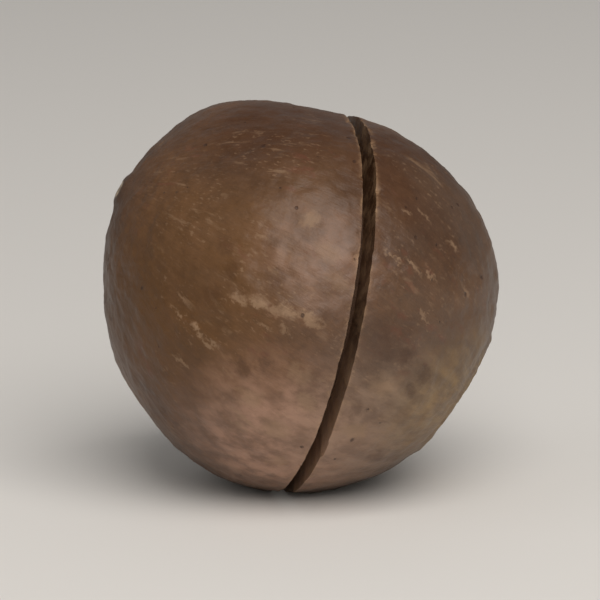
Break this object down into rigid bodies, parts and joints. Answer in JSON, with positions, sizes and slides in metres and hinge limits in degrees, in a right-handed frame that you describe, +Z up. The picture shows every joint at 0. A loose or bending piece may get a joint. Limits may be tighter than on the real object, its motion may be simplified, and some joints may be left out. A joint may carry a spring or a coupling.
{
  "type": "macadamia nut in shell",
  "caption": "Nearly round macadamia nut in its hard brown shell, slightly pointed at one end, with a narrow sawn slot part of the way round for cracking it open.",
  "frame": {"origin": "Middle of the bounding box's footprint, at the height of the flat spot on the underside that the nut lies on.", "axes": "+Z up. -Y is the front, where the saw slot runs in full from the top to the bottom. The pointed tip is at -X and up, and the round scar (hilum) is opposite it, at +X and down."},
  "size_m": [0.0252, 0.0244, 0.0246],
  "materials": {
    "shell": "satin"
  },
  "bodies": {
    "root": {"macadamia_nut": "shell"}
  },
  "joints": []
}
